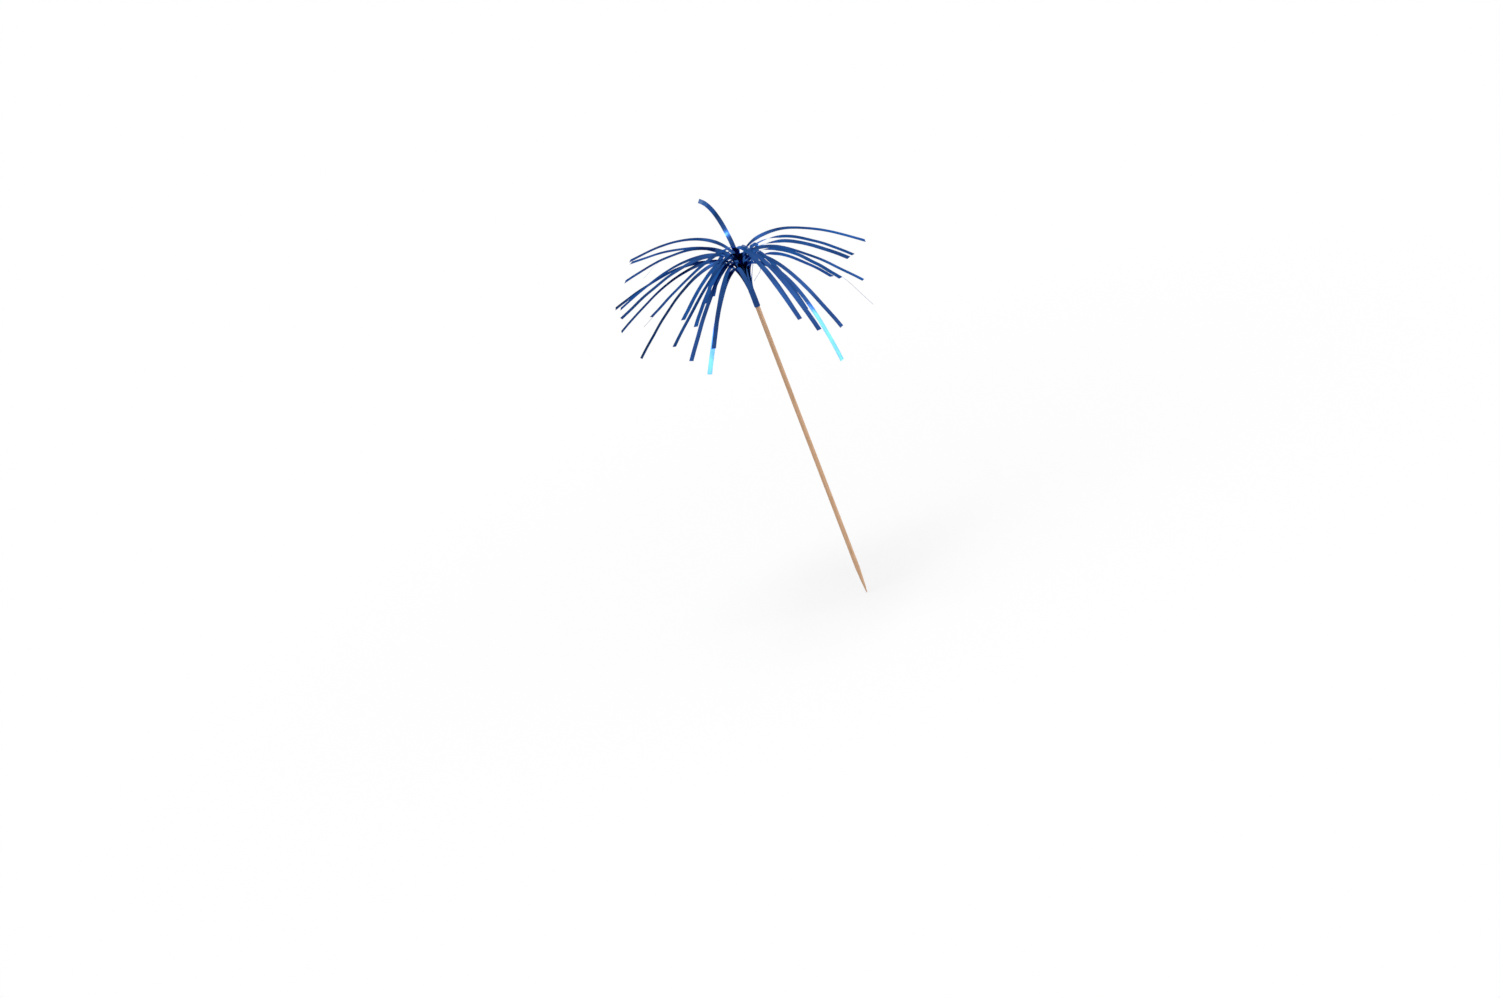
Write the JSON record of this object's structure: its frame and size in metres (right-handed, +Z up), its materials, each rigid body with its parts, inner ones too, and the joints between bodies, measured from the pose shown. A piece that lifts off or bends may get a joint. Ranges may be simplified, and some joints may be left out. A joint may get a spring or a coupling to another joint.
{
  "type": "palm leaf pick",
  "caption": "Decorative food pick: a pointed bamboo stick whose top is wrapped with slit metallic foil that opens and arches over like the crown of a palm.",
  "frame": {"origin": "the point of the stick, on the axis of the stick", "axes": "+Z up along the stick, from its point to the foil head; -Y faces the viewer of the picture, +X is to that viewer's right"},
  "size_m": [0.1113, 0.1193, 0.1781],
  "materials": {
    "bamboo": "plain bamboo, machine rounded, with lengthwise grain",
    "adhesive": "dried clear glue, slightly milky",
    "blue_foil": "metallised plastic film, blue, mirror bright on both sides"
  },
  "bodies": {
    "stick_and_fringe_header": {"bamboo_stick": "bamboo", "glue_layer": "adhesive", "fringe_header": "blue_foil"},
    "frond_01": {"frond_01": "blue_foil"},
    "frond_02": {"frond_02": "blue_foil"},
    "frond_03": {"frond_03": "blue_foil"},
    "frond_04": {"frond_04": "blue_foil"},
    "frond_05": {"frond_05": "blue_foil"},
    "frond_06": {"frond_06": "blue_foil"},
    "frond_07": {"frond_07": "blue_foil"},
    "frond_08": {"frond_08": "blue_foil"},
    "frond_09": {"frond_09": "blue_foil"},
    "frond_10": {"frond_10": "blue_foil"},
    "frond_11": {"frond_11": "blue_foil"},
    "frond_12": {"frond_12": "blue_foil"},
    "frond_13": {"frond_13": "blue_foil"},
    "frond_14": {"frond_14": "blue_foil"},
    "frond_15": {"frond_15": "blue_foil"},
    "frond_16": {"frond_16": "blue_foil"},
    "frond_17": {"frond_17": "blue_foil"},
    "frond_18": {"frond_18": "blue_foil"},
    "frond_19": {"frond_19": "blue_foil"},
    "frond_20": {"frond_20": "blue_foil"},
    "frond_21": {"frond_21": "blue_foil"},
    "frond_22": {"frond_22": "blue_foil"},
    "frond_23": {"frond_23": "blue_foil"},
    "frond_24": {"frond_24": "blue_foil"},
    "frond_25": {"frond_25": "blue_foil"},
    "frond_26": {"frond_26": "blue_foil"},
    "frond_27": {"frond_27": "blue_foil"},
    "frond_28": {"frond_28": "blue_foil"},
    "frond_29": {"frond_29": "blue_foil"},
    "frond_30": {"frond_30": "blue_foil"},
    "frond_31": {"frond_31": "blue_foil"},
    "frond_32": {"frond_32": "blue_foil"},
    "curled_frond": {"curled_frond": "blue_foil"}
  },
  "joints": [
    {"name": "palm_fold", "type": "hinge", "parent": "stick_and_fringe_header", "child": "frond_01", "pos_m": [-0.00523, -0.00092, 0.16219], "axis": [-0.1736, 0.9848, 0], "range_deg": [-13.5, 75.1], "stiffness_Nm_per_rad": 0.0004},
    {"name": "frond_02_fold", "type": "hinge", "parent": "stick_and_fringe_header", "child": "frond_02", "pos_m": [-0.00432, -0.0023, 0.16401], "axis": [-0.4695, 0.8829, 0], "range_deg": [-9.3, 50.6], "stiffness_Nm_per_rad": 0.0004},
    {"name": "frond_03_fold", "type": "hinge", "parent": "stick_and_fringe_header", "child": "frond_03", "pos_m": [-0.00292, -0.00302, 0.167], "axis": [-0.7193, 0.6947, 0], "range_deg": [-10.4, 56.8], "stiffness_Nm_per_rad": 0.0004},
    {"name": "frond_04_fold", "type": "hinge", "parent": "stick_and_fringe_header", "child": "frond_04", "pos_m": [-0.00289, -0.00383, 0.1644], "axis": [-0.7986, 0.6018, 0], "range_deg": [-12.5, 68.8], "stiffness_Nm_per_rad": 0.0004},
    {"name": "frond_05_fold", "type": "hinge", "parent": "stick_and_fringe_header", "child": "frond_05", "pos_m": [-0.00267, -0.00462, 0.16206], "axis": [-0.866, 0.5, 0], "range_deg": [-13.1, 71.7], "stiffness_Nm_per_rad": 0.0004},
    {"name": "frond_06_fold", "type": "hinge", "parent": "stick_and_fringe_header", "child": "frond_06", "pos_m": [-0.0023, -0.0057, 0.15855], "axis": [-0.9272, 0.3746, 0], "range_deg": [-13.1, 72], "stiffness_Nm_per_rad": 0.0004},
    {"name": "frond_07_fold", "type": "hinge", "parent": "stick_and_fringe_header", "child": "frond_07", "pos_m": [-0.00155, -0.00542, 0.16076], "axis": [-0.9613, 0.2756, 0], "range_deg": [-11.7, 64], "stiffness_Nm_per_rad": 0.0004},
    {"name": "frond_08_fold", "type": "hinge", "parent": "stick_and_fringe_header", "child": "frond_08", "pos_m": [0.00177, -0.00397, 0.16635], "axis": [-0.9135, -0.4067, 0], "range_deg": [-14.2, 78.2], "stiffness_Nm_per_rad": 0.0004},
    {"name": "frond_09_fold", "type": "hinge", "parent": "stick_and_fringe_header", "child": "frond_09", "pos_m": [0.0027, -0.00415, 0.16375], "axis": [-0.8387, -0.5446, 0], "range_deg": [-12.8, 70.2], "stiffness_Nm_per_rad": 0.0004},
    {"name": "frond_10_fold", "type": "hinge", "parent": "stick_and_fringe_header", "child": "frond_10", "pos_m": [0.00381, -0.00424, 0.1605], "axis": [-0.7431, -0.6691, 0], "range_deg": [-11, 60.2], "stiffness_Nm_per_rad": 0.0004},
    {"name": "frond_11_fold", "type": "hinge", "parent": "stick_and_fringe_header", "child": "frond_11", "pos_m": [0.00483, -0.00405, 0.1579], "axis": [-0.6428, -0.766, 0], "range_deg": [-14.2, 78.2], "stiffness_Nm_per_rad": 0.0004},
    {"name": "frond_12_fold", "type": "hinge", "parent": "stick_and_fringe_header", "child": "frond_12", "pos_m": [0.0045, -0.0027, 0.16245], "axis": [-0.515, -0.8572, 0], "range_deg": [-11.7, 64.2], "stiffness_Nm_per_rad": 0.0004},
    {"name": "frond_13_fold", "type": "hinge", "parent": "stick_and_fringe_header", "child": "frond_13", "pos_m": [0.00468, 0.0017, 0.16362], "axis": [0.342, -0.9397, 0], "range_deg": [-10.6, 58.2], "stiffness_Nm_per_rad": 0.0004},
    {"name": "frond_14_fold", "type": "hinge", "parent": "stick_and_fringe_header", "child": "frond_14", "pos_m": [0.00435, 0.0034, 0.16128], "axis": [0.6157, -0.788, 0], "range_deg": [-12.4, 68.2], "stiffness_Nm_per_rad": 0.0004},
    {"name": "frond_15_fold", "type": "hinge", "parent": "stick_and_fringe_header", "child": "frond_15", "pos_m": [0.0042, 0.0042, 0.15946], "axis": [0.7071, -0.7071, 0], "range_deg": [-13.2, 72.2], "stiffness_Nm_per_rad": 0.0004},
    {"name": "frond_16_fold", "type": "hinge", "parent": "stick_and_fringe_header", "child": "frond_16", "pos_m": [0.00388, 0.00496, 0.1579], "axis": [0.788, -0.6157, 0], "range_deg": [-14.2, 78.2], "stiffness_Nm_per_rad": 0.0004},
    {"name": "frond_17_fold", "type": "hinge", "parent": "stick_and_fringe_header", "child": "frond_17", "pos_m": [0.00342, 0.00592, 0.15556], "axis": [0.866, -0.5, 0], "range_deg": [-14, 76.6], "stiffness_Nm_per_rad": 0.0004},
    {"name": "frond_18_fold", "type": "hinge", "parent": "stick_and_fringe_header", "child": "frond_18", "pos_m": [0.00214, 0.00528, 0.1605], "axis": [0.9272, -0.3746, 0], "range_deg": [-15.7, 86.2], "stiffness_Nm_per_rad": 0.0004},
    {"name": "frond_19_fold", "type": "hinge", "parent": "stick_and_fringe_header", "child": "frond_19", "pos_m": [0.00145, 0.00628, 0.15725], "axis": [0.9744, -0.225, 0], "range_deg": [-16.6, 91.2], "stiffness_Nm_per_rad": 0.0004},
    {"name": "frond_20_fold", "type": "hinge", "parent": "stick_and_fringe_header", "child": "frond_20", "pos_m": [0.00018, 0.00516, 0.16284], "axis": [0.9994, -0.0349, 0], "range_deg": [-12.8, 70.4], "stiffness_Nm_per_rad": 0.0004},
    {"name": "frond_21_fold", "type": "hinge", "parent": "stick_and_fringe_header", "child": "frond_21", "pos_m": [-0.00066, 0.00627, 0.1579], "axis": [0.9945, 0.1045, 0], "range_deg": [-12.9, 70.7], "stiffness_Nm_per_rad": 0.0004},
    {"name": "frond_22_fold", "type": "hinge", "parent": "stick_and_fringe_header", "child": "frond_22", "pos_m": [-0.00102, 0.00408, 0.167], "axis": [0.9703, 0.2419, 0], "range_deg": [-4.9, 26.2], "stiffness_Nm_per_rad": 0.0004},
    {"name": "frond_23_fold", "type": "hinge", "parent": "stick_and_fringe_header", "child": "frond_23", "pos_m": [-0.00227, 0.00536, 0.15998], "axis": [0.9205, 0.3907, 0], "range_deg": [-13.7, 75.4], "stiffness_Nm_per_rad": 0.0004},
    {"name": "frond_24_fold", "type": "hinge", "parent": "stick_and_fringe_header", "child": "frond_24", "pos_m": [-0.00249, 0.00431, 0.16362], "axis": [0.866, 0.5, 0], "range_deg": [-14.9, 81.7], "stiffness_Nm_per_rad": 0.0004},
    {"name": "frond_25_fold", "type": "hinge", "parent": "stick_and_fringe_header", "child": "frond_25", "pos_m": [-0.0037, 0.00491, 0.15855], "axis": [0.7986, 0.6018, 0], "range_deg": [-14.9, 82.1], "stiffness_Nm_per_rad": 0.0004},
    {"name": "frond_26_fold", "type": "hinge", "parent": "stick_and_fringe_header", "child": "frond_26", "pos_m": [-0.00379, 0.00406, 0.16115], "axis": [0.7314, 0.682, 0], "range_deg": [-14.6, 80.1], "stiffness_Nm_per_rad": 0.0004},
    {"name": "frond_27_fold", "type": "hinge", "parent": "stick_and_fringe_header", "child": "frond_27", "pos_m": [-0.00421, 0.00329, 0.16206], "axis": [0.6157, 0.788, 0], "range_deg": [-8.3, 45.3], "stiffness_Nm_per_rad": 0.0004},
    {"name": "frond_28_fold", "type": "hinge", "parent": "stick_and_fringe_header", "child": "frond_28", "pos_m": [-0.00371, 0.00232, 0.16622], "axis": [0.5299, 0.848, 0], "range_deg": [-8.1, 44.2], "stiffness_Nm_per_rad": 0.0004},
    {"name": "frond_29_fold", "type": "hinge", "parent": "stick_and_fringe_header", "child": "frond_29", "pos_m": [-0.00438, 0.00223, 0.16388], "axis": [0.454, 0.891, 0], "range_deg": [-9.3, 50.9], "stiffness_Nm_per_rad": 0.0004},
    {"name": "frond_30_fold", "type": "hinge", "parent": "stick_and_fringe_header", "child": "frond_30", "pos_m": [-0.00571, 0.00219, 0.15868], "axis": [0.3584, 0.9336, 0], "range_deg": [-9.6, 52.2], "stiffness_Nm_per_rad": 0.0004},
    {"name": "frond_31_fold", "type": "hinge", "parent": "stick_and_fringe_header", "child": "frond_31", "pos_m": [-0.00498, 0.00134, 0.16284], "axis": [0.2588, 0.9659, 0], "range_deg": [-10.5, 57.2], "stiffness_Nm_per_rad": 0.0004},
    {"name": "frond_32_fold", "type": "hinge", "parent": "stick_and_fringe_header", "child": "frond_32", "pos_m": [-0.00559, 0.00078, 0.16076], "axis": [0.1392, 0.9903, 0], "range_deg": [-11, 60.2], "stiffness_Nm_per_rad": 0.0004},
    {"name": "curled_frond_fold", "type": "hinge", "parent": "stick_and_fringe_header", "child": "curled_frond", "pos_m": [0.00581, -0.00071, 0.15985], "axis": [-0.1219, -0.9925, 0], "range_deg": [-3.8, 20.2], "stiffness_Nm_per_rad": 0.00002}
  ],
  "couplings": [
    {"joint": "frond_02_fold", "follows": "palm_fold", "ratio": 0.6711},
    {"joint": "frond_03_fold", "follows": "palm_fold", "ratio": 0.7533},
    {"joint": "frond_04_fold", "follows": "palm_fold", "ratio": 0.9133},
    {"joint": "frond_05_fold", "follows": "palm_fold", "ratio": 0.9522},
    {"joint": "frond_06_fold", "follows": "palm_fold", "ratio": 0.9561},
    {"joint": "frond_07_fold", "follows": "palm_fold", "ratio": 0.8496},
    {"joint": "frond_08_fold", "follows": "palm_fold", "ratio": 1.0386},
    {"joint": "frond_09_fold", "follows": "palm_fold", "ratio": 0.9321},
    {"joint": "frond_10_fold", "follows": "palm_fold", "ratio": 0.7989},
    {"joint": "frond_11_fold", "follows": "palm_fold", "ratio": 1.0386},
    {"joint": "frond_12_fold", "follows": "palm_fold", "ratio": 0.8522},
    {"joint": "frond_13_fold", "follows": "palm_fold", "ratio": 0.7723},
    {"joint": "frond_14_fold", "follows": "palm_fold", "ratio": 0.9055},
    {"joint": "frond_15_fold", "follows": "palm_fold", "ratio": 0.9587},
    {"joint": "frond_16_fold", "follows": "palm_fold", "ratio": 1.0386},
    {"joint": "frond_17_fold", "follows": "palm_fold", "ratio": 1.0176},
    {"joint": "frond_18_fold", "follows": "palm_fold", "ratio": 1.1451},
    {"joint": "frond_19_fold", "follows": "palm_fold", "ratio": 1.2117},
    {"joint": "frond_20_fold", "follows": "palm_fold", "ratio": 0.935},
    {"joint": "frond_21_fold", "follows": "palm_fold", "ratio": 0.9391},
    {"joint": "frond_22_fold", "follows": "palm_fold", "ratio": 0.3462},
    {"joint": "frond_23_fold", "follows": "palm_fold", "ratio": 1.0009},
    {"joint": "frond_24_fold", "follows": "palm_fold", "ratio": 1.0853},
    {"joint": "frond_25_fold", "follows": "palm_fold", "ratio": 1.0899},
    {"joint": "frond_26_fold", "follows": "palm_fold", "ratio": 1.0634},
    {"joint": "frond_27_fold", "follows": "palm_fold", "ratio": 0.6007},
    {"joint": "frond_28_fold", "follows": "palm_fold", "ratio": 0.5859},
    {"joint": "frond_29_fold", "follows": "palm_fold", "ratio": 0.6754},
    {"joint": "frond_30_fold", "follows": "palm_fold", "ratio": 0.6924},
    {"joint": "frond_31_fold", "follows": "palm_fold", "ratio": 0.759},
    {"joint": "frond_32_fold", "follows": "palm_fold", "ratio": 0.7989},
    {"joint": "curled_frond_fold", "follows": "palm_fold", "ratio": 0.2663}
  ]
}
